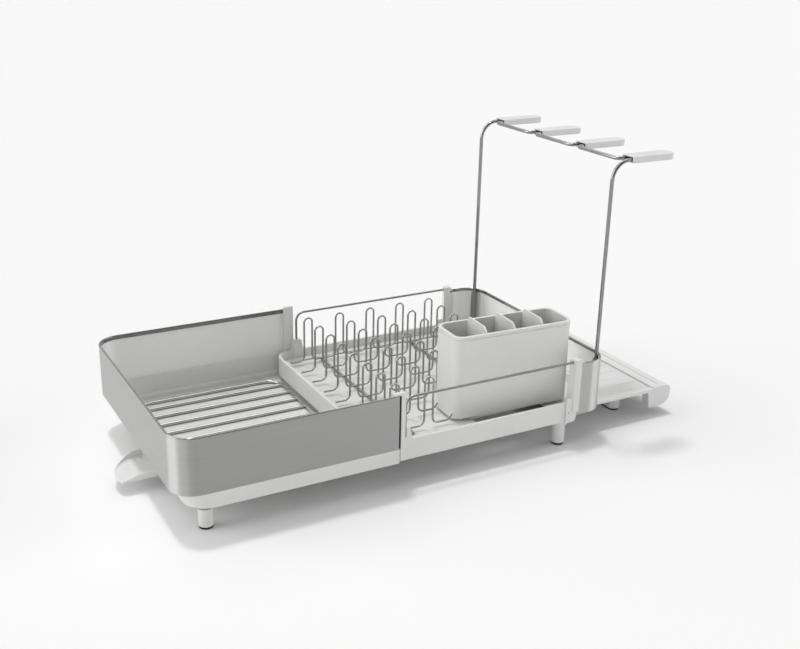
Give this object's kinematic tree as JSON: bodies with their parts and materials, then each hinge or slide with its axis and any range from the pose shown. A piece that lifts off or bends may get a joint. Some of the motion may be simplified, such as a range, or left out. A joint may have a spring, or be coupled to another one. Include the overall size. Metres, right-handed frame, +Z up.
{
  "type": "expandable dish drainer",
  "caption": "Two-part sliding dish drainer with mug rack, plate rack, lift-out utensil holder, pull-out drip tray, swivel spout and lift-off stemware rack.",
  "frame": {"origin": "on the table under the middle of the extended rack's outline", "axes": "+X towards the drip tray, along the way the rack extends; +Y towards the back; +Z up"},
  "size_m": [0.7425, 0.335, 0.371],
  "materials": {
    "plastic": "light grey moulded plastic, fine satin grain",
    "bright_plastic": "pale grey moulded plastic, satin",
    "brushed_steel": "stainless sheet brushed lengthwise",
    "wire": "polished stainless wire",
    "rubber": "black soft rubber, matt",
    "silicone": "light grey silicone, matt",
    "clear_plastic": "frosted translucent plastic",
    "zinc_steel": "zinc-plated steel"
  },
  "bodies": {
    "outer_rack": {"outer_base": "plastic", "outer_steel_band": "brushed_steel", "front_end_post": "plastic", "back_end_post": "plastic", "front_left_leg": "plastic", "front_left_leg_tip": "rubber", "front_left_leg_screw": "zinc_steel", "back_left_leg": "plastic", "back_left_leg_tip": "rubber", "back_left_leg_screw": "zinc_steel", "mug_rack": "wire", "spout_pivot": "plastic"},
    "swivel_spout": {"spout": "clear_plastic"},
    "inner_rack": {"inner_base": "plastic", "inner_end_band": "brushed_steel", "front_end_cap": "plastic", "back_end_cap": "plastic", "front_rail": "wire", "back_rail": "wire", "plate_rack_row_1": "wire", "plate_rack_row_2": "wire", "plate_rack_row_3": "wire", "plate_rack_row_4": "wire", "plate_rack_row_5": "wire", "plate_rack_row_6": "wire", "plate_rack_row_7": "wire", "plate_rack_row_8": "wire", "plate_rack_left_cross_wire": "wire", "plate_rack_right_cross_wire": "wire", "plate_rack_back_wire": "wire", "front_right_leg": "plastic", "front_right_leg_tip": "rubber", "front_right_leg_screw": "zinc_steel", "back_right_leg": "plastic", "back_right_leg_tip": "rubber", "back_right_leg_screw": "zinc_steel", "front_rack_socket": "rubber", "back_rack_socket": "rubber"},
    "pull_out_tray": {"drip_tray": "bright_plastic", "tray_foot": "bright_plastic", "tray_foot_pad": "rubber"},
    "stemware_rack": {"glass_rack_wire": "wire", "glass_rack_sleeve_1": "silicone", "glass_rack_sleeve_2": "silicone", "glass_rack_sleeve_3": "silicone", "glass_rack_sleeve_4": "silicone"},
    "cutlery_bin": {"utensil_holder": "plastic", "holder_divider_1": "plastic", "holder_divider_2": "plastic", "holder_divider_3": "plastic"}
  },
  "joints": [
    {"name": "extension_slide", "type": "slide", "parent": "outer_rack", "child": "inner_rack", "axis": [1, 0, 0], "range_m": [-0.226, 0]},
    {"name": "tray_slide", "type": "slide", "parent": "inner_rack", "child": "pull_out_tray", "axis": [1, 0, 0], "range_m": [-0.095, 0]},
    {"name": "spout_swivel", "type": "hinge", "parent": "outer_rack", "child": "swivel_spout", "pos_m": [-0.28675, -0.0075, 0.02], "axis": [0, 0, 1], "range_deg": [-90, 90]},
    {"name": "holder_lift", "type": "slide", "parent": "inner_rack", "child": "cutlery_bin", "axis": [0, 0, 1], "range_m": [0, 0.12]},
    {"name": "stemware_rack_lift", "type": "slide", "parent": "inner_rack", "child": "stemware_rack", "axis": [0, 0, 1], "range_m": [0, 0.06]}
  ]
}
